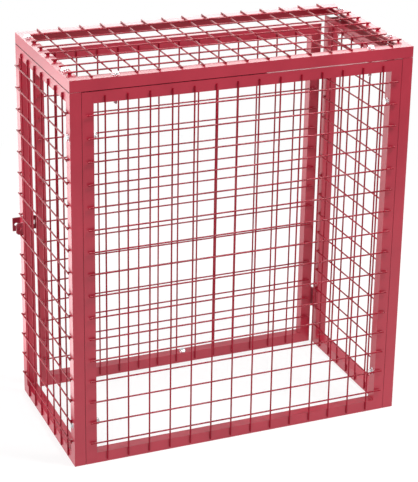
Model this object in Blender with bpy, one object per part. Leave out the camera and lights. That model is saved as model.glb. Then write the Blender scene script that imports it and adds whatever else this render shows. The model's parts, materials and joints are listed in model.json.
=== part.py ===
"""Gas cylinder cage: angle iron frames faced with welded wire, bolted into a box, with a hinged door.

Metres, +Z up. Every panel is drawn in its own plane and then stood in its place: u runs across the
panel, v runs up it and w points out of it, to the side that the wire lies on. The cage's own corner
(front, left, on the ground) is the zero of all places below, and an empty moves the whole cage so
that the world's origin is under the middle of everything.
"""

import math

import bmesh
import bpy
from mathutils import Matrix, Vector

# Rolled angle iron
LEG = 0.025
THICK = 0.003
ROOT_RADIUS = 0.003
TOE_RADIUS = 0.0015

# Welded wire
WIRE_RADIUS = 0.00165
WIRE_SIDES = 6
WELD_SINK = 0.0005
WIRE_MARGIN = 0.010
WIRE_FOOT = 0.006
PITCH_UP = 0.050
PITCH_ACROSS = 0.04874
PITCH_DEEP = 0.04894

# Gaps between pieces that touch
SEAT_GAP = 0.0003
LID_SEAM = 0.0008
FRONT_LID_GAP = 0.002
FRONT_SIDE_GAP = 0.0009

# The cage
CAGE_WIDTH = 0.780
CAGE_DEPTH = 0.385
CAGE_HEIGHT = 0.877
LID_OVERRUN = 0.0025
LID_FIRST_ACROSS = 0.0515
LID_FIRST_DEEP = 0.0427
FRONT_FIRST_ACROSS = 0.0487
FRONT_FIRST_UP = 0.0513
SIDE_FIRST_DEEP = 0.0473
SIDE_FIRST_UP = 0.055

# The door
DOOR_LEFT_GAP = 0.037
DOOR_RIGHT_GAP = 0.009
DOOR_GROUND_GAP = 0.003
DOOR_LID_GAP = 0.0192
DOOR_FIRST_ACROSS = 0.0525
DOOR_PITCH_ACROSS = 0.0492
DOOR_FIRST_UP = 0.0725
DOOR_SNIP = 0.004

# The hinges
HINGE_PLATE = 0.003
HINGE_HEIGHT = 0.047
LOWER_HINGE_UP = 0.122
UPPER_HINGE_DOWN = 0.153
KNUCKLE_RADIUS = 0.005
PIN_RADIUS = 0.0025
PIN_HEAD_RADIUS = 0.0034
PIN_HEAD = 0.0015
PIN_CLEARANCE = 0.0004
KNUCKLE_GAP = 0.0006
AXIS_BEHIND_DOOR = 0.005
AXIS_INSIDE_SIDE = 0.004
FIXED_LEAF = 0.028
LEAF_RELIEF = 0.0015
ROUND_STEPS = 20

# The lug on the left side and the hasp on the door, for a padlock
LATCH_PLATE = 0.003
LUG_REACH = 0.016
LUG_HEIGHT = 0.027
LUG_CHAMFER = 0.004
LUG_SETBACK = 0.0215
LATCH_CENTRE = 0.4225
PADLOCK_HOLE = 0.008
PADLOCK_INSET = 0.007
HASP_HEIGHT = 0.032
HASP_SEAT = 0.014
HASP_JOGGLE = 0.005
HASP_CLEARANCE = 0.0055
SLOT_WIDTH = 0.008
SLOT_HEIGHT = 0.011
SLOT_INSET = 0.009

# Worked out from the sizes above
PANEL_HEIGHT = CAGE_HEIGHT - LEG - LID_SEAM
MESH_DEPTH = SEAT_GAP + 4 * WIRE_RADIUS - WELD_SINK
RIGHT_SIDE_X = CAGE_WIDTH - LEG
FRONT_LEFT_X = LEG + FRONT_SIDE_GAP
FRONT_WIDTH = RIGHT_SIDE_X - FRONT_SIDE_GAP - FRONT_LEFT_X
FRONT_HEIGHT = CAGE_HEIGHT - LEG - FRONT_LID_GAP
DOOR_WIDTH = RIGHT_SIDE_X - DOOR_RIGHT_GAP - DOOR_LEFT_GAP
DOOR_HEIGHT = CAGE_HEIGHT - LEG - DOOR_LID_GAP - DOOR_GROUND_GAP
DOOR_FACE_Y = CAGE_DEPTH - THICK
AXIS_X = RIGHT_SIDE_X - AXIS_INSIDE_SIDE
AXIS_Y = CAGE_DEPTH + AXIS_BEHIND_DOOR
HINGE_HEIGHTS = (LOWER_HINGE_UP, CAGE_HEIGHT - UPPER_HINGE_DOWN)
WHOLE_LEFT = -LUG_REACH
WHOLE_RIGHT = CAGE_WIDTH
WHOLE_FRONT = -MESH_DEPTH
WHOLE_BACK = DOOR_FACE_Y + LEG

PAINT_RED = (0.434, 0.030, 0.051, 1.0)
WIRE_RED = (0.390, 0.026, 0.045, 1.0)
HINGE_RED = (0.330, 0.022, 0.038, 1.0)

X = Vector((1, 0, 0))
Y = Vector((0, 1, 0))
Z = Vector((0, 0, 1))


def clear_scene():
    """Takes everything out of the scene that Blender started with."""
    for obj in list(bpy.data.objects):
        bpy.data.objects.remove(obj, do_unlink=True)


def paint(obj, colour, roughness=0.42, metallic=0.0):
    """Gives an object its own Principled material."""
    material = bpy.data.materials.new(f"paint_{obj.name}")
    material.use_nodes = True
    shader = material.node_tree.nodes["Principled BSDF"]
    shader.inputs["Base Color"].default_value = colour
    shader.inputs["Roughness"].default_value = roughness
    shader.inputs["Metallic"].default_value = metallic
    obj.data.materials.clear()
    obj.data.materials.append(material)


def make_empty(name, location, parent=None):
    empty = bpy.data.objects.new(name, None)
    empty.location = location
    empty.parent = parent
    bpy.context.scene.collection.objects.link(empty)
    return empty


def make_object(name, shape, parent=None, location=(0, 0, 0)):
    """Turns a bmesh into an object whose faces point outwards."""
    bmesh.ops.recalc_face_normals(shape, faces=shape.faces[:])
    mesh = bpy.data.meshes.new(name)
    shape.to_mesh(mesh)
    shape.free()
    obj = bpy.data.objects.new(name, mesh)
    obj.parent = parent
    obj.location = location
    bpy.context.scene.collection.objects.link(obj)
    return obj


def combined(obj, other, operation):
    """Adds one object to another, or cuts it out, and removes it."""
    change = obj.modifiers.new(operation.lower(), "BOOLEAN")
    change.operation = operation
    change.object = other
    graph = bpy.context.evaluated_depsgraph_get()
    mesh = bpy.data.meshes.new_from_object(obj.evaluated_get(graph))
    obj.modifiers.clear()
    mesh.name = obj.name
    obj.data = mesh
    bpy.data.objects.remove(other, do_unlink=True)
    return obj


def extruded(outline, depth):
    """A bmesh prism: each outline point is a Vector, and depth is the Vector that it is swept along."""
    shape = bmesh.new()
    corners = [shape.verts.new(point) for point in outline]
    face = shape.faces.new(corners)
    swept = bmesh.ops.extrude_face_region(shape, geom=[face])
    moved = [item for item in swept["geom"] if isinstance(item, bmesh.types.BMVert)]
    bmesh.ops.translate(shape, vec=depth, verts=moved)
    return shape


def cylinder(radius, bottom, top, centre=(0.0, 0.0)):
    """An upright round bar as a bmesh."""
    ring = []
    for step in range(ROUND_STEPS):
        turn = 2 * math.pi * step / ROUND_STEPS
        ring.append(
            Vector((centre[0] + radius * math.cos(turn), centre[1] + radius * math.sin(turn), bottom))
        )
    return extruded(ring, Z * (top - bottom))


def box(low, high):
    outline = [
        Vector((low[0], low[1], low[2])),
        Vector((high[0], low[1], low[2])),
        Vector((high[0], high[1], low[2])),
        Vector((low[0], high[1], low[2])),
    ]
    return extruded(outline, Z * (high[2] - low[2]))


def arc(centre, radius, start, end, steps):
    """Points of an arc in the plane, from one angle to another in degrees."""
    points = []
    for step in range(steps + 1):
        turn = math.radians(start + (end - start) * step / steps)
        points.append((centre[0] + radius * math.cos(turn), centre[1] + radius * math.sin(turn)))
    return points


def angle_profile():
    """Outline of the rolled angle: heel at the corner (0, 0), one leg along +a and one along -w."""
    points = [(0.0, 0.0), (LEG, 0.0)]
    points += arc((LEG - TOE_RADIUS, TOE_RADIUS - THICK), TOE_RADIUS, 0, -90, 2)
    points += arc((THICK + ROOT_RADIUS, -THICK - ROOT_RADIUS), ROOT_RADIUS, 90, 180, 3)
    points += arc((THICK - TOE_RADIUS, TOE_RADIUS - LEG), TOE_RADIUS, 0, -90, 2)
    points += [(0.0, -LEG)]
    return points


class Panel:
    """A frame of four angle bars and the wire on it, drawn in u, v, w and stood in its place."""

    def __init__(self, name, parent, corner, across, up, width, height, body_corner=(0, 0, 0)):
        self.name = name
        self.parent = parent
        self.width = width
        self.height = height
        place = Vector(corner) - Vector(body_corner)
        turn = Matrix((across, up, across.cross(up))).transposed()
        self.stand = Matrix.Translation(place) @ turn.to_4x4()

    def finish(self, piece_name, shape, colour):
        """Stands a shape drawn in u, v, w in the panel's place."""
        obj = make_object(f"{self.name}_{piece_name}", shape, self.parent)
        obj.matrix_basis = self.stand
        paint(obj, colour)
        return obj

    def bar(self, piece_name, edge, start, end, flange_at_edge, mitred=False, snip=0.0):
        """One angle bar along an edge of the panel.

        Its face leg lies in the panel's plane. Its other leg stands back from the panel, at the
        panel's outer edge or else at the bar's inner edge. Ends are square, mitred, or snipped
        where the standing leg would run past the end of the face leg.
        """
        shape = bmesh.new()
        rings = []
        for place, inwards in ((start, 1), (end, -1)):
            ring = []
            for a, w in angle_profile():
                along = place
                if mitred:
                    along += inwards * a
                along += inwards * snip * max(0.0, -w - THICK) / (LEG - THICK)
                inset = a if flange_at_edge else LEG - a
                ring.append(shape.verts.new(self.on_edge(edge, inset, along, w)))
            rings.append(ring)
        shape.faces.new(rings[0])
        shape.faces.new(rings[1])
        count = len(rings[0])
        for i in range(count):
            j = (i + 1) % count
            shape.faces.new((rings[0][i], rings[0][j], rings[1][j], rings[1][i]))
        return self.finish(piece_name, shape, PAINT_RED)

    def on_edge(self, edge, inset, along, w):
        """A point given by how far in from one edge of the panel it lies, and how far along it."""
        if edge == "left":
            return Vector((inset, along, w))
        if edge == "right":
            return Vector((self.width - inset, along, w))
        if edge == "bottom":
            return Vector((along, inset, w))
        return Vector((along, self.height - inset, w))

    def upright(self, piece_name, edge, flange_at_edge, top_gap=0.0):
        self.bar(piece_name, edge, 0.0, self.height - top_gap, flange_at_edge)

    def rail_between(self, piece_name, edge, flange_at_edge):
        """A rail that butts against the uprights on both sides."""
        inset = LEG + SEAT_GAP
        self.bar(piece_name, edge, inset, self.width - inset, flange_at_edge)

    def wire(
        self, up_places, across_places, across_start=None, foot=WIRE_FOOT, top_margin=WIRE_MARGIN
    ):
        """The wire panel: upright wires on the frame and cross wires welded over them."""
        inner = SEAT_GAP + WIRE_RADIUS
        outer = inner + 2 * WIRE_RADIUS - WELD_SINK
        uprights = bmesh.new()
        for u in up_places:
            add_wire(uprights, Vector((u, foot, inner)), Vector((u, self.height - top_margin, inner)))
        crossing = bmesh.new()
        for v in across_places:
            start = across_start(v) if across_start else WIRE_MARGIN
            add_wire(crossing, Vector((start, v, outer)), Vector((self.width - WIRE_MARGIN, v, outer)))
        mesh = self.finish("mesh", uprights, WIRE_RED)
        over = make_object("cross_wires", crossing, self.parent)
        over.matrix_basis = self.stand
        bpy.context.view_layer.update()
        combined(mesh, over, "UNION")


def add_wire(shape, start, end):
    """Adds one straight wire with an edge facing out of the panel and one facing into it."""
    along = (end - start).normalized()
    side = along.cross(Z)
    rings = []
    for point in (start, end):
        ring = []
        for step in range(WIRE_SIDES):
            turn = 2 * math.pi * step / WIRE_SIDES
            offset = Z * math.cos(turn) + side * math.sin(turn)
            ring.append(shape.verts.new(point + WIRE_RADIUS * offset))
        rings.append(ring)
    shape.faces.new(rings[0])
    shape.faces.new(rings[1])
    for i in range(WIRE_SIDES):
        j = (i + 1) % WIRE_SIDES
        shape.faces.new((rings[0][i], rings[0][j], rings[1][j], rings[1][i]))


def wire_places(span, first, pitch):
    """Where the wires lie across a span: one every pitch, as far as the far bar's inner edge."""
    count = math.floor((span - LEG - first) / pitch) + 1
    return [first + pitch * i for i in range(count)]


def make_lid(cage):
    lid = Panel("lid", cage, (0, 0, CAGE_HEIGHT), X, Y, CAGE_WIDTH, CAGE_DEPTH)
    joint = SEAT_GAP / 2
    for name, edge, length in (
        ("front_rail", "bottom", CAGE_WIDTH),
        ("back_rail", "top", CAGE_WIDTH),
        ("left_rail", "left", CAGE_DEPTH),
        ("right_rail", "right", CAGE_DEPTH),
    ):
        lid.bar(name, edge, joint, length - joint, True, mitred=True)
    lid.wire(
        wire_places(CAGE_WIDTH, LID_FIRST_ACROSS, PITCH_ACROSS),
        wire_places(CAGE_DEPTH, LID_FIRST_DEEP, PITCH_DEEP),
        foot=WIRE_MARGIN,
        top_margin=-LID_OVERRUN,
    )


def make_front(cage):
    front = Panel("front", cage, (FRONT_LEFT_X, 0, 0), X, Z, FRONT_WIDTH, FRONT_HEIGHT)
    front.upright("left_upright", "left", False)
    front.upright("right_upright", "right", False)
    front.rail_between("bottom_rail", "bottom", False)
    front.rail_between("top_rail", "top", True)
    front.wire(
        wire_places(FRONT_WIDTH, FRONT_FIRST_ACROSS, PITCH_ACROSS),
        wire_places(FRONT_HEIGHT, FRONT_FIRST_UP, PITCH_UP),
    )


def make_side(cage, name, place, across_start=None):
    """A side panel. Both sides are alike: their wire faces left, and u runs from back to front."""
    side = Panel(name, cage, (place, CAGE_DEPTH, 0), -Y, Z, CAGE_DEPTH, PANEL_HEIGHT)
    side.upright("back_upright", "left", False)
    side.upright("front_upright", "right", True)
    side.rail_between("bottom_rail", "bottom", False)
    side.rail_between("top_rail", "top", True)
    side.wire(
        wire_places(CAGE_DEPTH, SIDE_FIRST_DEEP, PITCH_DEEP),
        wire_places(PANEL_HEIGHT, SIDE_FIRST_UP, PITCH_UP),
        across_start,
    )


def wire_stop_at_hinges(height):
    """Where a cross wire of the right side starts: it stops short of a hinge leaf in its way."""
    for centre in HINGE_HEIGHTS:
        if abs(height - centre) < HINGE_HEIGHT / 2 + WIRE_RADIUS + SEAT_GAP:
            return FIXED_LEAF - AXIS_BEHIND_DOOR + SEAT_GAP
    return WIRE_MARGIN


def make_door(swing):
    axis = (AXIS_X, AXIS_Y, 0)
    corner = (DOOR_LEFT_GAP, DOOR_FACE_Y, DOOR_GROUND_GAP)
    door = Panel("door", swing, corner, X, Z, DOOR_WIDTH, DOOR_HEIGHT, axis)
    under_top_rail = LEG + SEAT_GAP
    door.upright("left_upright", "left", False, under_top_rail)
    door.upright("right_upright", "right", False, under_top_rail)
    door.rail_between("bottom_rail", "bottom", False)
    door.bar("top_rail", "top", 0.0, DOOR_WIDTH, True, snip=DOOR_SNIP)
    door.wire(
        wire_places(DOOR_WIDTH, DOOR_FIRST_ACROSS, DOOR_PITCH_ACROSS),
        wire_places(DOOR_HEIGHT, DOOR_FIRST_UP, PITCH_UP),
    )


def make_hinge(cage, swing, name, centre):
    """A butt hinge: two leaves, three knuckles and a headed pin, centred on a height.

    The fixed leaf lies on the right side's face and carries the outer knuckles and the pin. The
    door leaf lies on the back of the door's face leg and carries the middle knuckle. Both are
    drawn around the pin's axis.
    """
    axis = (AXIS_X, AXIS_Y, centre)
    half = HINGE_HEIGHT / 2
    middle = HINGE_HEIGHT / 6
    side_face = AXIS_INSIDE_SIDE - SEAT_GAP
    knuckle_room = KNUCKLE_RADIUS + LEAF_RELIEF

    fixed = make_object(
        f"{name}_fixed_leaf",
        box((side_face - HINGE_PLATE, -FIXED_LEAF, -half), (side_face, -knuckle_room, half)),
    )
    outer_low = middle + KNUCKLE_GAP
    for low, high in ((-half, -outer_low), (outer_low, half)):
        tab = make_object("tab", box((side_face - HINGE_PLATE, -FIXED_LEAF / 2, low), (side_face, 0, high)))
        combined(fixed, tab, "UNION")
        combined(fixed, make_object("knuckle", cylinder(KNUCKLE_RADIUS, low, high)), "UNION")
    pin = make_object("pin", cylinder(PIN_RADIUS, -half, half))
    combined(fixed, pin, "UNION")
    head = make_object("pin_head", cylinder(PIN_HEAD_RADIUS, half - PIN_HEAD, half + PIN_HEAD))
    combined(fixed, head, "UNION")

    door_right = AXIS_X - (DOOR_LEFT_GAP + DOOR_WIDTH)
    leaf_end = door_right + LEG - THICK - ROOT_RADIUS
    back_face = SEAT_GAP - AXIS_BEHIND_DOOR
    moving = make_object(
        f"{name}_door_leaf",
        box((-leaf_end, back_face, -half), (-knuckle_room, back_face + HINGE_PLATE, half)),
    )
    tab = make_object(
        "tab", box((-leaf_end / 2, back_face, -middle), (0, back_face + HINGE_PLATE, middle))
    )
    combined(moving, tab, "UNION")
    combined(moving, make_object("knuckle", cylinder(KNUCKLE_RADIUS, -middle, middle)), "UNION")
    bore = make_object("bore", cylinder(PIN_RADIUS + PIN_CLEARANCE, -half, half))
    combined(moving, bore, "DIFFERENCE")

    for leaf, parent, place in ((fixed, cage, axis), (moving, swing, (0, 0, centre))):
        leaf.parent = parent
        leaf.location = place
        leaf.data.shade_smooth()
        leaf.data.set_sharp_from_angle(angle=math.radians(40))
        paint(leaf, HINGE_RED)


def make_lug(cage):
    """The plate that stands out from the left side, with a hole for a padlock."""
    bottom = LATCH_CENTRE - LUG_HEIGHT / 2
    top = LATCH_CENTRE + LUG_HEIGHT / 2
    back = CAGE_DEPTH - LUG_SETBACK
    outline = [
        (-SEAT_GAP, bottom),
        (-LUG_REACH + LUG_CHAMFER, bottom),
        (-LUG_REACH, bottom + LUG_CHAMFER),
        (-LUG_REACH, top - LUG_CHAMFER),
        (-LUG_REACH + LUG_CHAMFER, top),
        (-SEAT_GAP, top),
    ]
    plate = extruded([Vector((x, back, z)) for x, z in outline], -Y * LATCH_PLATE)
    lug = make_object("latch_lug", plate)
    combined(lug, padlock_hole(back - LATCH_PLATE / 2), "DIFFERENCE")
    lug.parent = cage
    paint(lug, PAINT_RED)


def padlock_hole(y):
    """A round cutter along Y where a padlock's shackle goes through the lug and the hasp."""
    radius = PADLOCK_HOLE / 2
    hole = make_object("padlock_hole", cylinder(radius, -LATCH_PLATE, LATCH_PLATE))
    hole.rotation_euler = (math.radians(90), 0, 0)
    hole.location = (-LUG_REACH / 2 + SEAT_GAP, y, LATCH_CENTRE)
    hole.hide_render = True
    hole.display_type = "WIRE"
    bpy.context.view_layer.update()
    return hole


def make_hasp(swing):
    """The flat bar on the door that is bent back and reaches past the left side's lug."""
    seat = CAGE_DEPTH + SEAT_GAP
    stepped = CAGE_DEPTH + HASP_CLEARANCE
    fixed_end = DOOR_LEFT_GAP + LEG - THICK - ROOT_RADIUS - SEAT_GAP
    bend_in = fixed_end - HASP_SEAT
    bend_out = bend_in - HASP_JOGGLE
    outline = [
        (fixed_end, seat),
        (fixed_end, seat + LATCH_PLATE),
        (bend_in, seat + LATCH_PLATE),
        (bend_out, stepped + LATCH_PLATE),
        (-LUG_REACH, stepped + LATCH_PLATE),
        (-LUG_REACH, stepped),
        (bend_out, stepped),
        (bend_in, seat),
    ]
    low = LATCH_CENTRE - HASP_HEIGHT / 2
    strip = extruded([Vector((x, y, low)) for x, y in outline], Z * HASP_HEIGHT)
    hasp = make_object("door_hasp", strip)
    combined(hasp, padlock_hole(stepped + LATCH_PLATE / 2), "DIFFERENCE")
    slot_right = DOOR_LEFT_GAP - SLOT_INSET + SLOT_WIDTH
    slot = make_object(
        "slot",
        box(
            (slot_right - SLOT_WIDTH, stepped - LATCH_PLATE, LATCH_CENTRE - SLOT_HEIGHT / 2),
            (slot_right, stepped + 2 * LATCH_PLATE, LATCH_CENTRE + SLOT_HEIGHT / 2),
        ),
    )
    combined(hasp, slot, "DIFFERENCE")
    hasp.parent = swing
    hasp.location = (-AXIS_X, -AXIS_Y, 0)
    paint(hasp, PAINT_RED)


def main():
    clear_scene()
    middle = (-(WHOLE_LEFT + WHOLE_RIGHT) / 2, -(WHOLE_FRONT + WHOLE_BACK) / 2, 0)
    cage = make_empty("cage", middle)
    swing = make_empty("door_axis", (AXIS_X, AXIS_Y, 0), cage)
    make_lid(cage)
    make_front(cage)
    make_side(cage, "left", 0.0)
    make_side(cage, "right", RIGHT_SIDE_X, wire_stop_at_hinges)
    make_door(swing)
    for name, centre in zip(("lower_hinge", "upper_hinge"), HINGE_HEIGHTS):
        make_hinge(cage, swing, name, centre)
    make_lug(cage)
    make_hasp(swing)


main()
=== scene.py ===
"""Looks of the gas cylinder cage: painted angle iron, welded wire, zinc bolts and a plain studio.

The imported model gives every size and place. The angle bars, hinges and latch keep their solids
and get finishes and softer edges. The wire panels are made again in round wire, and the welds and
bolts are added. Metres, +Z up.
"""

import json
import logging
import math
from dataclasses import dataclass, field
from enum import Enum

import bmesh
import bpy
from bmesh.types import BMesh
from bpy.types import Material, Mesh, Node, NodeSocket, NodeTree, Object
from mathutils import Matrix, Vector

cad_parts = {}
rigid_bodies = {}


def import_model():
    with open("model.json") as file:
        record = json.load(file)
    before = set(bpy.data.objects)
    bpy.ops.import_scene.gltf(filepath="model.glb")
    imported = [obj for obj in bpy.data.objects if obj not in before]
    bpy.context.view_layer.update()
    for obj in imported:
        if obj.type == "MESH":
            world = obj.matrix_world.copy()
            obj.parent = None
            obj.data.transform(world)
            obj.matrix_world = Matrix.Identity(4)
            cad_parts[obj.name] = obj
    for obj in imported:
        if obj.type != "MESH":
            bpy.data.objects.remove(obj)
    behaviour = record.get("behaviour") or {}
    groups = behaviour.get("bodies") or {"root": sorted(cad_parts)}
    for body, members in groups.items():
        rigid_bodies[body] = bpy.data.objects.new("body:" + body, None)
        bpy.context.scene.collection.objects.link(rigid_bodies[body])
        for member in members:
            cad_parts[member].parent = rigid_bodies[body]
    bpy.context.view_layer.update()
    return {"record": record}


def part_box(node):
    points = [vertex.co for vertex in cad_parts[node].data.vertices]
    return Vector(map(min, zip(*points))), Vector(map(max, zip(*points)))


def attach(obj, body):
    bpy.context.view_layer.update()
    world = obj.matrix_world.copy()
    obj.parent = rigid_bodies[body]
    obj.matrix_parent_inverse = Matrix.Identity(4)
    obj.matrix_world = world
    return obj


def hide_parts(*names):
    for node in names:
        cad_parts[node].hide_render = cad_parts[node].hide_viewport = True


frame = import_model()

log = logging.getLogger("cage")

# Angle iron: leg, thickness, and the hair of room between two solids that a weld bridges.
LEG = 0.025
THICK = 0.003
SEAT_GAP = 0.0003

# Ground welds on the bars' faces: how far they stop short of the bars' edges.
MITRE_START = 0.0016
SEAM_END = 0.0004

# Fillet welds: how far they stand off the metal, and how far they stop short of edges and corners.
BEAD_LIFT = 0.0003
CORNER_BEAD_LIFT = 0.0004
BEAD_CLEAR = 0.002
MITRE_BEAD_STOP = 0.003
RAIL_BEAD_START = 0.003
UPRIGHT_BEAD_START = 0.004
BEAD_STOP = 0.005

# Dark lines of painted shade round the front panel: the gaps, how their strips lap, stop and lie in
# them.
FRONT_SIDE_GAP = 0.0009
FRONT_LID_GAP = 0.0020
GAP_LAP = 0.0002
GAP_END = 0.001
SIDE_GAP_DEPTHS = (-0.0028, -0.0012)
LID_GAP_DEPTHS = (-0.0048, -0.0036)
LID_GAP_START = 0.002
LID_GAP_NARROW = 0.0011
LID_GAP_TURN = 0.56

# The dark line under the lid's left flange, a strip of painted shadow that lies almost flush.
LID_SEAM = 0.0008
LID_SEAM_LAP = 0.0007
LID_SEAM_PROUD = 0.00005
LID_SEAM_DEPTH = 0.0014
LID_SEAM_END = 0.0012

# Wire: pitches up, along and across the cage, radius with its paint, and where the rows end.
PITCH_UP = 0.050
PITCH_ACROSS = 0.04874
PITCH_DEEP = 0.04894
DOOR_PITCH_ACROSS = 0.0492
WIRE_RADIUS = 0.0018
WIRE_MARGIN = 0.010
WIRE_FOOT = 0.006

# What the bars of the upright panels are called after the panel's own name.
RAILS = ("bottom_rail", "top_rail")
FACE_UPRIGHTS = ("left_upright", "right_upright")
SIDE_UPRIGHTS = ("back_upright", "front_upright")

# Two points: both ends of a line, or the low and the high corner of a box.
Pair = tuple[Vector, Vector]

X = Vector((1.0, 0.0, 0.0))
Y = Vector((0.0, 1.0, 0.0))
Z = Vector((0.0, 0.0, 1.0))


class Facing(Enum):
    """The side that a panel's wire faces: the ways across the panel, up it and out of it."""

    FRONT = (X, Z, -Y)
    LEFT = (-Y, Z, -X)
    TOP = (X, Y, Z)


class Corner(Enum):
    """How the bars of a frame meet at its corners."""

    MITRED = "mitred"
    BETWEEN = "rails between the uprights"
    UNDER_TOP = "bottom rail between the uprights, top rail over them"


class Weld(Enum):
    """The spots of weld metal on a wire panel: least stretch, greatest stretch and random seed."""

    CROSS = ((0.9, 0.9, 0.75), (1.15, 1.15, 0.95), 3)
    UP = ((0.95, 1.9, 0.9), (1.3, 2.7, 1.15), 5)
    ACROSS = ((1.5, 0.72, 1.3), (2.2, 0.85, 1.6), 7)
    THICK = ((1.4, 2.4, 1.4), (1.7, 3.0, 1.7), 9)
    SLIM = ((0.9, 0.72, 0.72), (1.3, 0.77, 0.76), 13)
    SLIM_UP = ((0.7, 1.1, 0.74), (0.77, 1.5, 0.78), 15)

    @property
    def label(self) -> str:
        """The name of the attribute that marks such spots in a diagram."""
        return f"weld_{self.name.lower()}"


def srgb(code: str) -> tuple[float, float, float, float]:
    """Turns an sRGB hex colour into the linear colour that shaders take.

    Args:
        code: six hex digits, such as "b03040".

    Returns:
        Linear red, green, blue, and 1 for alpha.
    """
    linear = []
    for start in (0, 2, 4):
        value = int(code[start : start + 2], 16) / 255
        linear.append(value / 12.92 if value <= 0.04045 else ((value + 0.055) / 1.055) ** 2.4)
    return (linear[0], linear[1], linear[2], 1.0)


def add_node(tree: NodeTree, kind: str, links: dict | None = None, **settings: object) -> Node:
    """Adds a node to a tree, with its settings and what goes into its inputs.

    Args:
        tree: the shader or geometry tree.
        kind: the node's type name.
        links: for each input, by name or number, the socket to link or the value to set.
        settings: attributes of the node itself.

    Returns:
        The new node.
    """
    node = tree.nodes.new(kind)
    for name, value in settings.items():
        setattr(node, name, value)
    for key, value in (links or {}).items():
        if isinstance(value, NodeSocket):
            tree.links.new(value, node.inputs[key])
        else:
            node.inputs[key].default_value = value
    return node


def new_material(name: str) -> tuple[Material, NodeTree, Node]:
    """Makes a material that holds only its output.

    Args:
        name: the material's name.

    Returns:
        The material, its node tree and its output node.
    """
    material = bpy.data.materials.new(name)
    material.use_nodes = True
    tree = material.node_tree
    tree.nodes.clear()
    return material, tree, add_node(tree, "ShaderNodeOutputMaterial")


@dataclass(frozen=True)
class PowderCoat:
    """Powder coat, sprayed dry and baked: an even thick skin, faintly dimpled, with a soft gloss.

    The gloss turns faces pale where they are seen at a low angle against something bright.
    """

    name: str
    colour: str
    deep_colour: str
    roughness: float = 0.33
    gloss_drift: float = 0.05
    coat: float = 0.25
    coat_roughness: float = 0.2
    ior: float = 1.5
    # The dimples of baked powder lie 2 to 3 mm apart and are a few hundredths deep.
    dimple: float = 0.0022
    dimple_depth: float = 0.00004
    dimple_strength: float = 0.6
    # The film's thickness, and with it the tone, wanders over a hand's width of 140 mm.
    drifts_per_metre: float = 7.0
    drift_span: tuple[float, float] = (0.35, 0.65)

    def build(self) -> Material:
        """Makes the material: colour and gloss drift a little, and the dimples are bump.

        Returns:
            The material.
        """
        material, tree, output = new_material(self.name)
        place = add_node(tree, "ShaderNodeTexCoord").outputs["Object"]
        drift = add_node(
            tree,
            "ShaderNodeTexNoise",
            {"Vector": place, "Scale": self.drifts_per_metre, "Detail": 4.0},
        )
        tint = add_node(tree, "ShaderNodeValToRGB", {"Fac": drift.outputs["Fac"]})
        codes = (self.deep_colour, self.colour)
        for stop, position, code in zip(tint.color_ramp.elements, self.drift_span, codes):
            stop.position = position
            stop.color = srgb(code)
        gloss = add_node(
            tree,
            "ShaderNodeMapRange",
            {
                "Value": drift.outputs["Fac"],
                "To Min": self.roughness - self.gloss_drift,
                "To Max": self.roughness + self.gloss_drift,
            },
        )
        dimples = add_node(
            tree, "ShaderNodeTexNoise", {"Vector": place, "Scale": 1 / self.dimple, "Detail": 2.0}
        )
        bump = add_node(
            tree,
            "ShaderNodeBump",
            {
                "Height": dimples.outputs["Fac"],
                "Distance": self.dimple_depth,
                "Strength": self.dimple_strength,
            },
        )
        shader = add_node(
            tree,
            "ShaderNodeBsdfPrincipled",
            {
                "Base Color": tint.outputs["Color"],
                "Roughness": gloss.outputs["Result"],
                "Normal": bump.outputs["Normal"],
                "IOR": self.ior,
                "Coat Weight": self.coat,
                "Coat Roughness": self.coat_roughness,
            },
        )
        tree.links.new(shader.outputs["BSDF"], output.inputs["Surface"])
        return material


@dataclass(frozen=True)
class ZincPlate:
    """Zinc plated bright on steel fixings: a pale cool metal with a fine mottle."""

    name: str = "bright_zinc_plate"
    colour: str = "f2f3f4"
    dark_colour: str = "c4c7ca"
    roughness: float = 0.2
    # The plate's crystals are under 0.1 mm. They are drawn 1.4 mm apart, so that they show.
    crystals_per_metre: float = 700.0
    crystal_span: tuple[float, float] = (0.25, 0.55)
    crystal_depth: float = 0.00003
    crystal_strength: float = 0.5

    def build(self) -> Material:
        """Makes the material: a finely mottled metal.

        Returns:
            The material.
        """
        material, tree, output = new_material(self.name)
        place = add_node(tree, "ShaderNodeTexCoord").outputs["Object"]
        mottle = add_node(
            tree,
            "ShaderNodeTexNoise",
            {"Vector": place, "Scale": self.crystals_per_metre, "Detail": 3.0},
        )
        tint = add_node(tree, "ShaderNodeValToRGB", {"Fac": mottle.outputs["Fac"]})
        codes = (self.dark_colour, self.colour)
        for stop, position, code in zip(tint.color_ramp.elements, self.crystal_span, codes):
            stop.position = position
            stop.color = srgb(code)
        bump = add_node(
            tree,
            "ShaderNodeBump",
            {
                "Height": mottle.outputs["Fac"],
                "Distance": self.crystal_depth,
                "Strength": self.crystal_strength,
            },
        )
        shader = add_node(
            tree,
            "ShaderNodeBsdfPrincipled",
            {
                "Base Color": tint.outputs["Color"],
                "Metallic": 1.0,
                "Roughness": self.roughness,
                "Normal": bump.outputs["Normal"],
            },
        )
        tree.links.new(shader.outputs["BSDF"], output.inputs["Surface"])
        return material


# Satin coat on the angle iron: deep raspberry that pales on every face turned to the light.
FRAME_COAT = PowderCoat("raspberry_powder_coat", "b4263c", "a82036")
# The same coat on drawn wire, thin and smooth, with one narrow crisp highlight; its darker colour
# is painted shade. Its IOR is under paint's usual 1.5, as the real wires hardly pale at low angles.
WIRE_COAT = PowderCoat(
    "raspberry_wire_coat", "9a0626", "88041e", roughness=0.24, coat=0.0, ior=1.3
)
# The coat over hinge plate, rubbed duller where the leaves turn: a shade under the frame's.
HINGE_COAT = PowderCoat("painted_hinge", "a02034", "8e1a2c", roughness=0.4)
# The coat over cut flat bar, darker than the frame's as painted shade, with a broad soft sheen.
LATCH_COAT = PowderCoat("painted_latch", "8e182e", "7a1022", roughness=0.45, coat=0.0)
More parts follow.
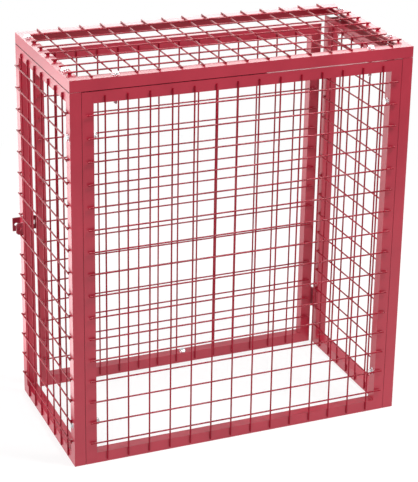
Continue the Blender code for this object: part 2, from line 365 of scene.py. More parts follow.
# Painted shade for the narrow gaps: a dull coat, almost black, on thin strips that stand for the
# shade in them.
GAP_SHADE_COAT = PowderCoat(
    "painted_gap_shade", "30060e", "240409", roughness=0.7, coat=0.0, ior=1.2
)


def link_mesh(name: str, mesh: Mesh, material: Material) -> Object:
    """Puts a mesh in the scene as an object at the origin, with one material.

    Args:
        name: the object's name.
        mesh: its mesh, already in its place.
        material: what it is made of.

    Returns:
        The object.
    """
    obj = bpy.data.objects.new(name, mesh)
    mesh.name = name
    mesh.materials.clear()
    mesh.materials.append(material)
    bpy.context.scene.collection.objects.link(obj)
    return obj


def smooth(mesh: Mesh, sharp_above: float = 35.0) -> None:
    """Shades a mesh smooth, and keeps edges sharper than an angle in degrees sharp."""
    mesh.shade_smooth()
    mesh.set_sharp_from_angle(angle=math.radians(sharp_above))


def closed_mesh(name: str, shape: BMesh, sharp_above: float = 35.0) -> Mesh:
    """Turns a bmesh into a mesh whose faces point outwards, shaded smooth.

    Args:
        name: the mesh's name.
        shape: the closed shape, which is used up.
        sharp_above: the angle in degrees above which an edge stays sharp.

    Returns:
        The mesh.
    """
    bmesh.ops.recalc_face_normals(shape, faces=shape.faces[:])
    mesh = bpy.data.meshes.new(name)
    shape.to_mesh(mesh)
    shape.free()
    smooth(mesh, sharp_above)
    return mesh


def add_tube(shape: BMesh, rings: list[list[Vector]]) -> None:
    """Joins rings of points one after the other and closes both ends.

    Args:
        shape: what the faces are added to.
        rings: the rings from end to end, each with the same number of points.
    """
    rows = [[shape.verts.new(point) for point in ring] for ring in rings]
    shape.faces.new(list(reversed(rows[0])))
    shape.faces.new(rows[-1])
    count = len(rows[0])
    for low, high in zip(rows, rows[1:]):
        for i in range(count):
            j = (i + 1) % count
            shape.faces.new((low[i], low[j], high[j], high[i]))


@dataclass
class Diagram:
    """The lines and points that a Geometry Nodes tree grows a piece from."""

    lines: list[Pair] = field(default_factory=list)
    marks: dict[Weld, list[Vector]] = field(default_factory=dict)

    def mark(self, kind: Weld, point: Vector) -> None:
        """Adds a point for weld metal of one kind."""
        self.marks.setdefault(kind, []).append(point)

    def mesh(self) -> Mesh:
        """Draws the diagram as edges and loose points.

        Returns:
            The mesh, with one yes-or-no attribute for each kind of weld.
        """
        points = [point for line in self.lines for point in line]
        edges = [(2 * i, 2 * i + 1) for i in range(len(self.lines))]
        kinds: list[Weld | None] = [None] * len(points)
        for kind, places in self.marks.items():
            points += places
            kinds += [kind] * len(places)
        mesh = bpy.data.meshes.new("diagram")
        mesh.from_pydata(points, edges, [])
        for kind in self.marks:
            layer = mesh.attributes.new(kind.label, "BOOLEAN", "POINT")
            layer.data.foreach_set("value", [other is kind for other in kinds])
        return mesh


class NodeShape:
    """A Geometry Nodes tree with named inputs that turns a diagram into a finished mesh."""

    def __init__(self, name: str, inputs: dict[str, float]) -> None:
        """Makes the tree with its inputs.

        Args:
            name: the tree's name.
            inputs: the name and the value of each number that the tree takes.
        """
        self.tree = bpy.data.node_groups.new(name, "GeometryNodeTree")
        sockets = self.tree.interface
        sockets.new_socket(name="Diagram", in_out="INPUT", socket_type="NodeSocketGeometry")
        for label, value in inputs.items():
            socket = sockets.new_socket(name=label, in_out="INPUT", socket_type="NodeSocketFloat")
            socket.default_value = value
        sockets.new_socket(name="Material", in_out="INPUT", socket_type="NodeSocketMaterial")
        sockets.new_socket(name="Geometry", in_out="OUTPUT", socket_type="NodeSocketGeometry")
        self.inputs = self.add("NodeGroupInput").outputs
        self.values = inputs
        self.shapes: list[NodeSocket] = []

    def add(self, kind: str, links: dict | None = None, **settings: object) -> Node:
        """Adds a node to this tree."""
        return add_node(self.tree, kind, links, **settings)

    def blob(self, radius: NodeSocket) -> NodeSocket:
        """A small round drop of weld metal of a given radius."""
        ball = self.add("GeometryNodeMeshUVSphere", {"Segments": 10, "Rings": 6, "Radius": radius})
        return ball.outputs[0]

    def sizes(
        self, low: tuple[float, float, float], high: tuple[float, float, float], seed: int
    ) -> NodeSocket:
        """A random stretch for each copy, between two sizes."""
        node = self.add(
            "FunctionNodeRandomValue", {0: low, 1: high, "Seed": seed}, data_type="FLOAT_VECTOR"
        )
        return node.outputs[0]

    def marked(self, kind: Weld) -> NodeSocket:
        """The points of the diagram that are of one kind."""
        node = self.add(
            "GeometryNodeInputNamedAttribute", {"Name": kind.label}, data_type="BOOLEAN"
        )
        return next(socket for socket in node.outputs if socket.enabled)

    def copies(
        self,
        points: NodeSocket,
        item: NodeSocket,
        size: NodeSocket,
        kind: Weld | None = None,
    ) -> None:
        """Puts a copy of an item on each point, or on each point of one kind.

        Args:
            points: where the copies go.
            item: what is copied.
            size: the stretch of each copy.
            kind: the weld whose marks are used, or none for all points.
        """
        links = {"Points": points, "Instance": item, "Scale": size}
        if kind:
            links["Selection"] = self.marked(kind)
        self.shapes.append(self.add("GeometryNodeInstanceOnPoints", links).outputs[0])

    def close(self) -> None:
        """Joins the shapes, realizes their copies, gives them the material and ends the tree."""
        join = self.add("GeometryNodeJoinGeometry")
        for shape in self.shapes:
            self.tree.links.new(shape, join.inputs[0])
        real = self.add("GeometryNodeRealizeInstances", {0: join.outputs[0]})
        dressed = self.add(
            "GeometryNodeSetMaterial",
            {"Geometry": real.outputs[0], "Material": self.inputs["Material"]},
        )
        self.add("NodeGroupOutput", {0: dressed.outputs[0]})

    def grow(self, diagram: Diagram, material: Material) -> Mesh:
        """Runs the tree on a diagram.

        Args:
            diagram: the lines and points.
            material: what the piece is made of.

        Returns:
            The plain mesh.
        """
        holder = bpy.data.objects.new("holder", diagram.mesh())
        bpy.context.scene.collection.objects.link(holder)
        modifier = holder.modifiers.new("nodes", "NODES")
        modifier.node_group = self.tree
        for item in self.tree.interface.items_tree:
            if item.in_out == "INPUT" and item.name in self.values:
                modifier[item.identifier] = self.values[item.name]
            if item.in_out == "INPUT" and item.name == "Material":
                modifier[item.identifier] = material
        bpy.context.view_layer.update()
        graph = bpy.context.evaluated_depsgraph_get()
        mesh = bpy.data.meshes.new_from_object(holder.evaluated_get(graph))
        bpy.data.objects.remove(holder, do_unlink=True)
        for name in [layer.name for layer in mesh.attributes if layer.name.startswith("weld_")]:
            mesh.attributes.remove(mesh.attributes[name])
        smooth(mesh)
        return mesh


def welded_wire_shape() -> NodeShape:
    """The tree of a wire panel: drawn wire along the lines, and weld metal on the marked points.

    Wires are spot welded where they cross, which leaves a small squeezed nugget. Each wire's end
    is tacked to the frame with a drop that stands beside and over it, thickest at the tops of the
    side panels, and on the front and the door so slim that it hardly stands past the wire.

    Returns:
        The tree.
    """
    radii = {"Wire Radius": WIRE_RADIUS, "Nugget": 0.0021, "Tack": 0.0024}
    shape = NodeShape("welded_wire", radii)
    diagram = shape.inputs["Diagram"]
    outline = shape.add(
        "GeometryNodeCurvePrimitiveCircle",
        {"Resolution": 12, "Radius": shape.inputs["Wire Radius"]},
    )
    line = shape.add("GeometryNodeMeshToCurve", {0: diagram})
    wire = shape.add(
        "GeometryNodeCurveToMesh",
        {"Curve": line.outputs[0], "Profile Curve": outline.outputs[0], "Fill Caps": True},
    )
    shape.shapes.append(wire.outputs[0])
    nugget = shape.blob(shape.inputs["Nugget"])
    tack = shape.blob(shape.inputs["Tack"])
    for kind in Weld:
        drop = nugget if kind is Weld.CROSS else tack
        shape.copies(diagram, drop, shape.sizes(*kind.value), kind)
    shape.close()
    return shape


def weld_bead_shape() -> NodeShape:
    """The tree of a weld bead: overlapping round ripples along each line of the diagram.

    Returns:
        The tree.
    """
    shape = NodeShape("weld_bead", {"Bead Radius": 0.0017, "Ripple": 0.0016})
    line = shape.add("GeometryNodeMeshToCurve", {0: shape.inputs["Diagram"]})
    steps = shape.add(
        "GeometryNodeResampleCurve",
        {"Curve": line.outputs[0], "Length": shape.inputs["Ripple"]},
        mode="LENGTH",
    )
    ripple = shape.blob(shape.inputs["Bead Radius"])
    sizes = shape.sizes(low=(0.85, 0.85, 0.85), high=(1.1, 1.1, 1.1), seed=11)
    shape.copies(steps.outputs[0], ripple, sizes)
    shape.close()
    return shape


@dataclass(frozen=True)
class Row:
    """A row of parallel wires: where the first lies, their pitch and how many they are."""

    first: float
    pitch: float
    count: int

    def places(self) -> list[float]:
        """Where each wire lies."""
        return [self.first + self.pitch * i for i in range(self.count)]


@dataclass
class Wires:
    """A panel's upright and cross wires: their rows, where they end and how they are welded.

    The two layers and their nuggets sink into each other, and a tack stands at each end.
    """

    upright: Row
    cross: Row
    foot: float = WIRE_FOOT
    top_margin: float = WIRE_MARGIN
    side_margin: float = WIRE_MARGIN
    short_rows: tuple[int, ...] = ()
    short_start: float = 0.0233
    wire_radius: float = WIRE_RADIUS
    bite: float = 0.00005
    sink: float = 0.0009
    nugget_sink: float = 0.0006
    tack_inset: float = 0.007
    tack_shift: float = 0.0003
    up_tack_rise: float = 0.0008
    cross_tack_rise: float = 0.0022
    slim_tack_sink: float = 0.0001
    thick_tops: bool = False
    slim_ends: bool = False


@dataclass
class Panel:
    """A frame of four angle bars with wire on it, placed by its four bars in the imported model."""

    name: str
    body: str
    facing: Facing
    corner: Corner
    uprights: tuple[str, str]
    rails: tuple[str, str]
    wires: Wires

    def __post_init__(self) -> None:
        """Finds the panel's plane, width and height from its bars."""
        across, up, out = self.facing.value
        lows, highs = [], []
        for node in self.uprights + self.rails:
            low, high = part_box(node)
            lows.append(Vector(low))
            highs.append(Vector(high))
        low = Vector([min(point[i] for point in lows) for i in range(3)])
        high = Vector([max(point[i] for point in highs) for i in range(3)])
        inwards = across + up - out
        origin = Vector([low[i] if inwards[i] > 0 else high[i] for i in range(3)])
        turn = Matrix((across, up, out)).transposed()
        self.stand = Matrix.Translation(origin) @ turn.to_4x4()
        self.width = abs((high - low).dot(across))
        self.height = abs((high - low).dot(up))

    def at(self, u: float, v: float, w: float = 0.0) -> Vector:
        """Returns the world place of a point given across, up and out of the panel."""
        return self.stand @ Vector((u, v, w))

    def wire_diagram(self) -> Diagram:
        """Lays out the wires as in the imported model, upright ones on the frame and the rest over.

        Returns:
            The wires as lines, and their welds as marks.
        """
        rows = self.wires
        inner = rows.wire_radius - rows.bite
        outer = inner + 2 * rows.wire_radius - rows.sink
        top = self.height - rows.top_margin
        end = self.width - rows.side_margin
        head = self.height - WIRE_MARGIN - rows.tack_inset
        plan = Diagram()
        for u in rows.upright.places():
            plan.lines.append((Vector((u, rows.foot, inner)), Vector((u, top, inner))))
            for v in (rows.foot + rows.tack_inset, head):
                if rows.slim_ends:
                    plan.mark(Weld.SLIM_UP, Vector((u, v, inner)))
                else:
                    thick = rows.thick_tops and v == head
                    kind = Weld.THICK if thick else Weld.UP
                    plan.mark(kind, Vector((u, v, rows.up_tack_rise)))
        for row, v in enumerate(rows.cross.places()):
            start = rows.short_start if row in rows.short_rows else rows.side_margin
            plan.lines.append((Vector((start, v, outer)), Vector((end, v, outer))))
            for u in (start + rows.tack_inset, end - rows.tack_inset):
                side = v + rows.tack_shift
                if rows.slim_ends:
                    plan.mark(Weld.SLIM, Vector((u, side, outer - rows.slim_tack_sink)))
                else:
                    plan.mark(Weld.ACROSS, Vector((u, side, rows.cross_tack_rise)))
            for u in rows.upright.places():
                plan.mark(Weld.CROSS, Vector((u, v, outer - rows.nugget_sink)))
        return plan

    def build_wire(self, shape: NodeShape, material: Material) -> Object:
        """Makes the panel's wire, which stands for the plain solid one.

        Args:
            shape: the wire panel's tree.
            material: the wire's paint.

        Returns:
            The finished piece.
        """
        mesh = shape.grow(self.wire_diagram(), material)
        mesh.transform(self.stand)
        wire = link_mesh(f"{self.name}_wire", mesh, material)
        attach(wire, self.body)
        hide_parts(f"{self.name}_mesh")
        return wire

    def corners(self) -> list[tuple[float, float, int, int]]:
        """The panel's four corners, with the way into the panel across and up."""
        sides, ends = ((0.0, 1), (self.width, -1)), ((0.0, 1), (self.height, -1))
        return [(u, v, across, up) for u, across in sides for v, up in ends]

    def seams(self) -> list[tuple[Vector, Vector, Vector]]:
        """The joints between the bars' faces.

        Returns:
            Both ends of each joint, and the way that it faces.
        """
        out = self.facing.value[2]
        joint = LEG + SEAT_GAP / 2
        lines = []
        for u, v, across, up in self.corners():
            if self.corner is Corner.MITRED:
                start = self.at(u + across * MITRE_START, v + up * MITRE_START)
                lines.append((start, self.at(u + across * LEG, v + up * LEG), out))
            elif self.corner is Corner.UNDER_TOP and up < 0:
                level = v - joint
                start = self.at(u + across * SEAM_END, level)
                lines.append((start, self.at(u + across * (LEG - SEAM_END), level), out))
            else:
                start = self.at(u + across * joint, v + up * SEAM_END)
                lines.append((start, self.at(u + across * joint, v + up * (LEG - SEAM_END)), out))
        return lines

    def beads(self) -> list[Pair]:
        """The fillet welds behind the frame, in the corners between the bars.

        Returns:
            Both ends of each weld.
        """
        back = -THICK - BEAD_LIFT
        deep = -LEG + BEAD_CLEAR
        lines = []
        for u, v, across, up in self.corners():
            if self.corner is Corner.MITRED:
                near, far = THICK + BEAD_CLEAR, LEG - MITRE_BEAD_STOP
                start = self.at(u + across * near, v + up * near, back)
                lines.append((start, self.at(u + across * far, v + up * far, back)))
                inside = THICK + CORNER_BEAD_LIFT
                corner = (u + across * inside, v + up * inside)
                lines.append((self.at(*corner, back), self.at(*corner, deep)))
            elif self.corner is Corner.UNDER_TOP and up < 0:
                level = v - LEG
                start = self.at(u + across * RAIL_BEAD_START, level, back)
                lines.append((start, self.at(u + across * (LEG - BEAD_STOP), level, back)))
            else:
                side = u + across * LEG
                start = self.at(side, v + up * UPRIGHT_BEAD_START, back)
                lines.append((start, self.at(side, v + up * (LEG - BEAD_STOP), back)))
                level = v + up * ((LEG if up > 0 else THICK) + BEAD_LIFT)
                lines.append((self.at(side, level, -BEAD_STOP), self.at(side, level, deep)))
        return lines


@dataclass
class SeamCaps:
    """Butt welds between the bars' faces, ground almost flush and painted over."""

    name: str
    body: str
    half_width: float = 0.0016
    crown: float = 0.0001
    bite: float = 0.00003
    depth: float = 0.0004
    profile: tuple[float, ...] = (-1.0, -0.6, 0.0, 0.6, 1.0)

    def build(
        self, seams: list[tuple[Vector, Vector, Vector]], material: Material
    ) -> Object:
        """Makes one low crowned strip along each joint.

        Args:
            seams: both ends of each joint and the way that it faces.
            material: the frame's paint.

        Returns:
            The finished piece.
        """
        shape = bmesh.new()
        for start, end, out in seams:
            side = (end - start).cross(out).normalized()
            rings = []
            for point in (start, end):
                ring = []
                for part in self.profile:
                    rise = self.crown * (1.0 - part * part) - self.bite
                    ring.append(point + side * self.half_width * part + out * rise)
                ring.append(point + side * self.half_width - out * self.depth)
                ring.append(point - side * self.half_width - out * self.depth)
                rings.append(ring)
            add_tube(shape, rings)
        caps = link_mesh(self.name, closed_mesh(self.name, shape), material)
        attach(caps, self.body)
        return caps


@dataclass
class GapStrips:
    """Strips of painted shade in the narrow gaps between frames, each a thin dark line.

    Light from behind would otherwise wash out a gap that is no wider than a pixel.
    """

    name: str
    body: str

    def build(
        self, panel: Panel, boxes: list[Pair], material: Material
    ) -> Object:
        """Makes one flat strip in each gap.

        Args:
            panel: the panel beside the gaps.
            boxes: low and high corner of each strip, across, up and out of that panel.
            material: the dark coat that paints shade into the gaps.

        Returns:
            The finished piece.
        """
        shape = bmesh.new()
        for low, high in boxes:
            rings = []
            for v in (low.y, high.y):
                ring = [(low.x, low.z), (high.x, low.z), (high.x, high.z), (low.x, high.z)]
                rings.append([panel.at(u, v, w) for u, w in ring])
            add_tube(shape, rings)
        strips = link_mesh(self.name, closed_mesh(self.name, shape), material)
        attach(strips, self.body)
        return strips


@dataclass
class Beads:
    """Rippled fillet welds that are left as they were laid and painted over."""

    name: str
    body: str

    def build(
        self, lines: list[Pair], shape: NodeShape, material: Material
    ) -> Object:
        """Makes the beads.

        Args:
            lines: both ends of each bead.
            shape: the bead's tree.
            material: the frame's paint.

        Returns:
            The finished piece.
        """
        beads = link_mesh(self.name, shape.grow(Diagram(lines=lines), material), material)
        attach(beads, self.body)
        return beads


@dataclass
class Bolt:
    """An M8 hexagon bolt: where its head sits, which way it goes in and where its nut is."""

    seat: Vector
    way: Vector
    length: float
    nut_at: float
    shank: float = 0.004
    thread_depth: float = 0.00045
    pitch: float = 0.00125
    head_half: float = 0.0065
    head_high: float = 0.0046
    nut_high: float = 0.0065
    chamfer: float = 0.0005
    chamfer_share: float = 0.92
    washer: float = 0.008
    washer_thick: float = 0.0014
    hair: float = 0.00002
    sides: int = 16
    washer_sides: int = 20

    def ring(self, radius: float, along: float, sides: int, turn: Matrix) -> list[Vector]:
        """Places points round the bolt's axis.

        Args:
            radius: how far they lie from the axis.
            along: how far down the bolt they lie from its seat.
            sides: how many they are.
            turn: what turns Z to the bolt's way.

        Returns:
            The points in their order.
        """
        points = []
        for step in range(sides):
            angle = 2 * math.pi * step / sides
            place = Vector((radius * math.cos(angle), radius * math.sin(angle), along))
            points.append(self.seat + turn @ place)
        return points

    def hexagon(self, shape: BMesh, start: float, end: float, turn: Matrix) -> None:
        """Adds a six-sided block with its outer corners turned off.

        Args:
            shape: what it is added to.
            start: where it starts down the bolt.
            end: where it ends.
            turn: what turns Z to the bolt's way.
        """
        wide = self.head_half / math.cos(math.pi / 6)
        flat = self.chamfer_share * wide
        edge = self.chamfer if end > start else -self.chamfer
        rows = ((flat, start), (wide, start + edge), (wide, end - edge), (flat, end))
        add_tube(shape, [self.ring(radius, along, 6, turn) for radius, along in rows])

    def add_washer(self, shape: BMesh, low: float, high: float, turn: Matrix) -> None:
        """Adds a washer between two places down the bolt."""
        places = (low, high)
        add_tube(shape, [self.ring(self.washer, d, self.washer_sides, turn) for d in places])

    def add_to(self, shape: BMesh) -> None:
        """Adds the head, washers, threaded shank and nut.

        Args:
            shape: what they are added to.
        """
        turn = self.way.to_track_quat("Z", "Y").to_matrix()
        thick = self.washer_thick
        near = self.nut_at + self.hair
        self.hexagon(shape, -thick, -thick - self.head_high, turn)
        self.add_washer(shape, -thick, -self.hair, turn)
        rings = [self.ring(self.shank, -thick, self.sides, turn)]
        for step in range(1, 2 * int(self.length / self.pitch)):
            radius = self.shank - (self.thread_depth if step % 2 else 0.0)
            rings.append(self.ring(radius, step * self.pitch / 2, self.sides, turn))
        rings.append(self.ring(self.shank - 2 * self.thread_depth, self.length, self.sides, turn))
        add_tube(shape, rings)
        self.add_washer(shape, near, near + thick, turn)
        self.hexagon(shape, near + thick, near + thick + self.nut_high, turn)


@dataclass
class BoltSet:
    """Several bolts that make one piece."""

    name: str
    body: str
    bolts: list[Bolt]

    def build(self, material: Material) -> Object:
        """Makes the bolts.

        Args:
            material: their plating.

        Returns:
            The finished piece.
        """
        shape = bmesh.new()
        for bolt in self.bolts:
            bolt.add_to(shape)
        piece = link_mesh(self.name, closed_mesh(self.name, shape, sharp_above=30.0), material)
        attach(piece, self.body)
        return piece


@dataclass
class Ironwork:
    """The solids that keep their shape: they get their paint and softer edges."""

    slots: dict[str, Material]
    edge: float = 0.0008
    segments: int = 2
    sharp_above: float = 50.0

    def dress(self) -> None:
        """Gives each kept solid its slot's paint, and rounds its edges by a modifier."""
        for entry in frame["record"]["subparts"]:
            material = self.slots.get(entry["material_slot"])
            if material is None:
                continue
            obj = bpy.data.objects[entry["node"]]
            obj.data.materials.clear()
            obj.data.materials.append(material)
            bevel = obj.modifiers.new("soft_edges", "BEVEL")
            bevel.width = self.edge
            bevel.segments = self.segments
            bevel.limit_method = "ANGLE"
            bevel.angle_limit = math.radians(self.sharp_above)
            log.info("dressed %s", entry["node"])


@dataclass
class Cage:
    """The whole cage: its panels, welds and bolts, at the places that the photo shows."""

    lid_bolts_to_sides: tuple[tuple[float, float], ...] = (
        (0.0125, 0.072),
        (0.0125, 0.333),
        (0.7675, 0.088),
        (0.7675, 0.330),
    )
    lid_bolts_to_front: tuple[tuple[float, float], ...] = ((0.102, 0.0135), (0.683, 0.0135))
    lid_bolt_length: float = 0.062
    side_bolt_heights: tuple[float, float] = (0.097, 0.754)
    side_bolt_inset: float = 0.0115
    left_bolt_length: float = 0.060
    right_bolt_length: float = 0.037
    door_bolt_place: tuple[float, float, float] = (0.368, LEG, -0.009)
    door_bolt_length: float = 0.014
    fixed_leaf_foot: float = 0.003
    fixed_leaf_head: float = 0.006
    hasp_bead: tuple[float, float] = (0.013, 0.001)
    door_leaf_bead: tuple[float, float] = (0.001, 0.008)

    def __post_init__(self) -> None:
        """Lists the panels with the places of their wires."""
        lid_wires = Wires(
            upright=Row(0.0515, PITCH_ACROSS, 15),
            cross=Row(0.0427, PITCH_DEEP, 7),
            foot=WIRE_MARGIN,
            top_margin=-0.0025,
            side_margin=0.0075,
        )
        lid_bars = ("left_rail", "right_rail"), ("front_rail", "back_rail")
        self.lid = self.panel("lid", Facing.TOP, Corner.MITRED, *lid_bars, lid_wires)
        front_wires = Wires(
            upright=Row(0.0487, PITCH_ACROSS, 14),
            cross=Row(0.0513, PITCH_UP, 16),
            slim_ends=True,
        )
        face_bars = FACE_UPRIGHTS, RAILS
        self.front = self.panel("front", Facing.FRONT, Corner.BETWEEN, *face_bars, front_wires)
        self.left = self.side("left")
        self.right = self.side("right", short_rows=(1, 13))
        door_wires = Wires(
            upright=Row(0.0525, DOOR_PITCH_ACROSS, 13),
            cross=Row(0.0725, PITCH_UP, 15),
            slim_ends=True,
        )
        self.door = self.panel(
            "door", Facing.FRONT, Corner.UNDER_TOP, *face_bars, door_wires, body="door"
        )
        self.fixed = [self.lid, self.front, self.left, self.right]

    @staticmethod
    def panel(
        name: str,
        facing: Facing,
        corner: Corner,
        uprights: tuple[str, str],
        rails: tuple[str, str],
        wires: Wires,
        body: str = "cage",
    ) -> Panel:
        """Makes a panel from the names that its bars have after the panel's own."""
        first, second = [(f"{name}_{a}", f"{name}_{b}") for a, b in (uprights, rails)]
        return Panel(name, body, facing, corner, first, second, wires)

    def side(self, name: str, short_rows: tuple[int, ...] = ()) -> Panel:
        """Makes a side panel, whose wire faces left.

        Args:
            name: the panel's name.
            short_rows: the cross wires that start past a hinge's leaf.

        Returns:
            The panel.
        """
        wires = Wires(
            upright=Row(0.0473, PITCH_DEEP, 7),
            cross=Row(0.055, PITCH_UP, 16),
            short_rows=short_rows,
            thick_tops=True,
        )
        return self.panel(name, Facing.LEFT, Corner.BETWEEN, SIDE_UPRIGHTS, RAILS, wires)

    def front_gaps(self) -> list[Pair]:
        """The gaps beside the front panel, and the one under the lid, narrow along its right part.

        Returns:
            Low and high corner of each strip, from the front panel's lower left corner.
        """
        wide, high = self.front.width, self.front.height
        side = FRONT_SIDE_GAP + GAP_LAP
        top = high - GAP_END
        deep, near = SIDE_GAP_DEPTHS
        lid = high + FRONT_LID_GAP + GAP_LAP
        turn = LID_GAP_TURN * wide
        under, over = LID_GAP_DEPTHS
        return [
            (Vector((-side, GAP_END, deep)), Vector((GAP_LAP, top, near))),
            (Vector((wide - GAP_LAP, GAP_END, deep)), Vector((wide + side, top, near))),
            (Vector((LID_GAP_START - LEG, high - GAP_LAP, under)), Vector((turn, lid, over))),
            (Vector((turn, high + LID_GAP_NARROW, under)), Vector((wide - GAP_END, lid, over))),
        ]

    def left_seam(self) -> list[Pair]:
        """The seam between the left panel and the lid's flange above it.

        Returns:
            Low and high corner of its strip, from the left panel's lower left corner.
        """
        wide, high = self.left.width, self.left.height
        low_corner = Vector((LID_SEAM_END, high - LID_SEAM_LAP, -LID_SEAM_DEPTH))
        high_corner = Vector((wide - LID_SEAM_END, high + LID_SEAM + LID_SEAM_LAP, LID_SEAM_PROUD))
        return [(low_corner, high_corner)]

    def cage_beads(self) -> list[Pair]:
        """The fixed frames' welds, and those that hold the lug and the fixed leaves to the sides.

        Returns:
            Both ends of each weld.
        """
        lines = [bead for panel in self.fixed for bead in panel.beads()]
        low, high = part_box("latch_lug")
        for y in (low[1], high[1]):
            start = Vector((high[0] + SEAT_GAP, y, low[2] + BEAD_CLEAR))
            lines.append((start, Vector((start.x, y, high[2] - BEAD_CLEAR))))
        side = self.right.at(0.0, 0.0).x
        for name in ("lower_hinge_fixed_leaf", "upper_hinge_fixed_leaf"):
            low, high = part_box(name)
            foot = Vector((side, low[1], low[2] + self.fixed_leaf_foot))
            lines.append((foot, Vector((side, low[1], high[2] - self.fixed_leaf_head))))
        return lines

    def door_beads(self) -> list[Pair]:
        """The door frame's welds, and those that hold the hasp and the door leaves to it.

        Returns:
            Both ends of each weld.
        """
        lines = self.door.beads()
        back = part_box("door_left_upright")[0][1] + THICK
        low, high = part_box("door_hasp")
        start, end = self.hasp_bead
        spans = [(low, high, high[0] - start, high[0] - end)]
        start, end = self.door_leaf_bead
        for name in ("lower_hinge_door_leaf", "upper_hinge_door_leaf"):
            low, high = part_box(name)
            spans.append((low, high, low[0] + start, low[0] + end))
        for low, high, left, right in spans:
            for z in (low[2], high[2]):
                lines.append((Vector((left, back, z)), Vector((right, back, z))))
        return lines

    def lid_bolts(self) -> BoltSet:
        """Six long bolts, from the lid's flange down through the panels' top flanges.

        Returns:
            The bolts.
        """
        top = self.lid.at(0, 0).z
        bolts = []
        rows = ((self.left, self.lid_bolts_to_sides), (self.front, self.lid_bolts_to_front))
        for panel, places in rows:
            grip = top - panel.at(0, panel.height).z + THICK
            for u, v in places:
                bolts.append(Bolt(self.lid.at(u, v), -Z, self.lid_bolt_length, nut_at=grip))
        return BoltSet("lid_bolts", "cage", bolts)

    def side_bolts(self) -> BoltSet:
        """Two bolts through each side into the front panel's uprights.

        Returns:
            The bolts.
        """
        left = self.left.at(0, 0).x
        leg = self.front.at(LEG, 0).x
        right = self.right.at(0, 0).x + THICK
        inner = self.front.at(self.front.width - LEG, 0).x
        y = self.front.at(0, 0).y + self.side_bolt_inset
        bolts = []
        for height in self.side_bolt_heights:
            seat = Vector((left, y, height))
            bolts.append(Bolt(seat, X, self.left_bolt_length, nut_at=leg - left))
            seat = Vector((right, y, height))
            bolts.append(Bolt(seat, -X, self.right_bolt_length, nut_at=right - inner))
        return BoltSet("side_bolts", "cage", bolts)

    def door_bolt(self) -> BoltSet:
        """A small bolt through the flange of the door's bottom rail."""
        bolt = Bolt(self.door.at(*self.door_bolt_place), -Z, self.door_bolt_length, nut_at=THICK)
        return BoltSet("door_bolt", "door", [bolt])

    def build(self) -> None:
        """Builds and dresses every piece of the cage."""
        paint = FRAME_COAT.build()
        wire_paint = WIRE_COAT.build()
        hinge_paint = HINGE_COAT.build()
        latch_paint = LATCH_COAT.build()
        # The seam coat paints shade into the gaps between the frames.
        gap_shade_paint = GAP_SHADE_COAT.build()
        zinc = ZincPlate().build()
        slots = {"frame_paint": paint, "hinge_paint": hinge_paint, "latch_paint": latch_paint}
        Ironwork(slots).dress()
        wire_shape = welded_wire_shape()
        bead_shape = weld_bead_shape()
        pieces = [panel.build_wire(wire_shape, wire_paint) for panel in self.fixed + [self.door]]
        seams = [seam for panel in self.fixed for seam in panel.seams()]
        pieces.append(SeamCaps("cage_ground_welds", "cage").build(seams, paint))
        pieces.append(SeamCaps("door_ground_welds", "door").build(self.door.seams(), paint))
        gaps = self.front_gaps()
        pieces.append(GapStrips("front_gap_strips", "cage").build(self.front, gaps, gap_shade_paint))
        seam_strip = GapStrips("left_seam_strip", "cage")
        pieces.append(seam_strip.build(self.left, self.left_seam(), gap_shade_paint))
        pieces.append(Beads("cage_weld_beads", "cage").build(self.cage_beads(), bead_shape, paint))
        pieces.append(Beads("door_weld_beads", "door").build(self.door_beads(), bead_shape, paint))
        for bolts in (self.lid_bolts(), self.side_bolts(), self.door_bolt()):
            pieces.append(bolts.build(zinc))
        for piece in pieces:
            log.info("%s: %d faces", piece.name, len(piece.data.polygons))


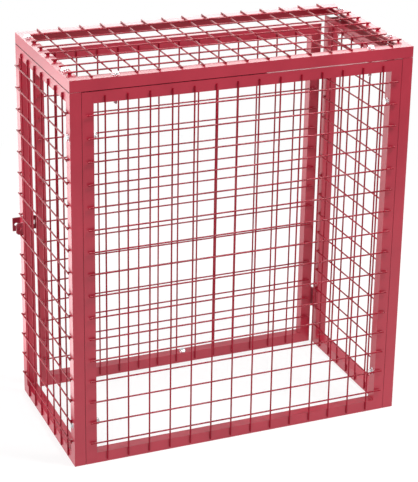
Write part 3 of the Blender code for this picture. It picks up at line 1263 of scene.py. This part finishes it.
@dataclass
class Studio:
    """A plain white studio: pale floor, soft front light and a back that brightens low angles."""

    camera_place: Vector = field(default_factory=lambda: Vector((-1.35105, -3.25503, 1.86397)))
    camera_turn: tuple[float, float, float] = (-0.4111, -0.3661, -0.0221)
    focal: float = 124.93
    shift: tuple[float, float] = (-0.0512, -0.0951)
    sensor: float = 36.0
    reach: float = 100.0
    floor_radius: float = 1.9
    floor_sides: int = 96
    floor_glow: float = 0.78
    floor_white: float = 0.26
    fill: float = 0.42
    front_gloss: float = 0.45
    back_gloss: float = 1.1
    back_way: tuple[float, float, float] = (-0.3, 0.9, -0.6)
    back_from: float = 0.3
    back_full: float = 0.6

    def camera(self) -> None:
        """Stands the camera where the photo was taken from."""
        data = bpy.data.cameras.new("camera")
        camera = bpy.data.objects.new("camera", data)
        yaw, pitch, roll = self.camera_turn
        camera.matrix_world = (
            Matrix.Translation(self.camera_place)
            @ Matrix.Rotation(yaw, 4, "Z")
            @ Matrix.Rotation(pitch, 4, "X")
            @ Matrix.Rotation(roll, 4, "Y")
            @ Matrix.Rotation(math.radians(90), 4, "X")
        )
        data.sensor_width = self.sensor
        data.lens = self.focal
        data.shift_x, data.shift_y = self.shift
        data.clip_end = self.reach
        bpy.context.scene.collection.objects.link(camera)
        bpy.context.scene.camera = camera

    def world(self) -> None:
        """White for the camera, a bright low band at the back for the gloss, and a grey fill."""
        world = bpy.data.worlds.new("studio")
        world.use_nodes = True
        tree = world.node_tree
        tree.nodes.clear()
        rays = add_node(tree, "ShaderNodeLightPath").outputs
        way = add_node(tree, "ShaderNodeTexCoord").outputs["Generated"]
        lean = add_node(
            tree, "ShaderNodeVectorMath", {0: way, 1: self.back_way}, operation="DOT_PRODUCT"
        )
        gloss = add_node(
            tree,
            "ShaderNodeMapRange",
            {
                "Value": lean.outputs["Value"],
                "From Min": self.back_from,
                "From Max": self.back_full,
                "To Min": self.front_gloss,
                "To Max": self.back_gloss,
            },
        )
        strength = self.choose(tree, rays["Is Glossy Ray"], self.fill, gloss.outputs["Result"])
        for name in ("Is Camera Ray", "Is Transmission Ray"):
            strength = self.choose(tree, rays[name], strength, 1.0)
        glow = add_node(
            tree, "ShaderNodeBackground", {"Color": (1.0, 1.0, 1.0, 1.0), "Strength": strength}
        )
        add_node(tree, "ShaderNodeOutputWorld", {"Surface": glow.outputs[0]})
        bpy.context.scene.world = world

    @staticmethod
    def choose(
        tree: NodeTree,
        test: NodeSocket,
        plain: NodeSocket | float,
        met: NodeSocket | float,
    ) -> NodeSocket:
        """Returns one value where a ray test is not met and another where it is."""
        return add_node(tree, "ShaderNodeMix", {0: test, 2: plain, 3: met}).outputs[0]

    def floor(self) -> None:
        """A round white sheet lit partly from below, so shadows on it stay faint."""
        shape = bmesh.new()
        bmesh.ops.create_circle(
            shape, cap_ends=True, segments=self.floor_sides, radius=self.floor_radius
        )
        mesh = bpy.data.meshes.new("floor")
        shape.to_mesh(mesh)
        shape.free()
        material, tree, output = new_material("studio_floor")
        white = (self.floor_white, self.floor_white, self.floor_white, 1.0)
        sheet = add_node(tree, "ShaderNodeBsdfDiffuse", {"Color": white, "Roughness": 0.5})
        light = add_node(tree, "ShaderNodeEmission", {"Strength": self.floor_glow})
        both = add_node(tree, "ShaderNodeAddShader", {0: sheet.outputs[0], 1: light.outputs[0]})
        tree.links.new(both.outputs[0], output.inputs["Surface"])
        floor = link_mesh("floor", mesh, material)

    def softbox(
        self,
        name: str,
        place: Vector,
        target: Vector,
        size: tuple[float, float],
        power: float,
        gloss_only: bool = False,
    ) -> None:
        """Hangs a rectangular area light that faces a point.

        Args:
            name: the light's name.
            place: where it hangs.
            target: what it faces.
            size: its width and height.
            power: its power in watts.
            gloss_only: whether it adds highlights and no other light.
        """
        data = bpy.data.lights.new(name, "AREA")
        data.shape = "RECTANGLE"
        data.size, data.size_y = size
        data.energy = power
        light = bpy.data.objects.new(name, data)
        light.visible_camera = False
        light.visible_diffuse = not gloss_only
        light.location = place
        light.rotation_euler = (target - place).to_track_quat("-Z", "Y").to_euler()
        bpy.context.scene.collection.objects.link(light)

    def lights(self) -> None:
        """Hangs the lights, all of them soft.

        The glint only adds highlights to what faces up, the low strip behind brightens the lid, and
        the card on the floor shines upwards.
        """
        middle = Vector((0.0, 0.0, 0.45))
        lid = Vector((0.2, 0.0, 0.88))
        card = Vector((-1.25, 1.3, 0.03))
        glint = Vector((0.5, -0.9, 3.0))
        self.softbox("key", Vector((-2.4, -3.4, 3.0)), middle, size=(2.2, 2.2), power=45.0)
        self.softbox("side", Vector((-3.2, 0.6, 1.0)), middle, size=(2.0, 1.6), power=55.0)
        self.softbox("overhead", Vector((1.1, -1.1, 3.0)), middle, size=(0.7, 0.7), power=60.0)
        self.softbox("glint", glint, middle, size=(2.6, 1.8), power=170.0, gloss_only=True)
        self.softbox("back", Vector((0.45, 0.95, 1.16)), lid, size=(2.6, 0.36), power=9.5)
        self.softbox("floor_card", card, card + Z, size=(1.6, 2.6), power=21.0)

    def build(self) -> None:
        """Sets up the camera, world, floor and lights."""
        self.camera()
        self.world()
        self.floor()
        self.lights()
        bpy.context.scene.view_settings.view_transform = "Standard"


def main() -> None:
    """Builds the studio and the cage."""
    logging.basicConfig(level=logging.INFO, format="%(name)s: %(message)s")
    Studio().build()
    Cage().build()


if __name__ == "__main__":
    main()
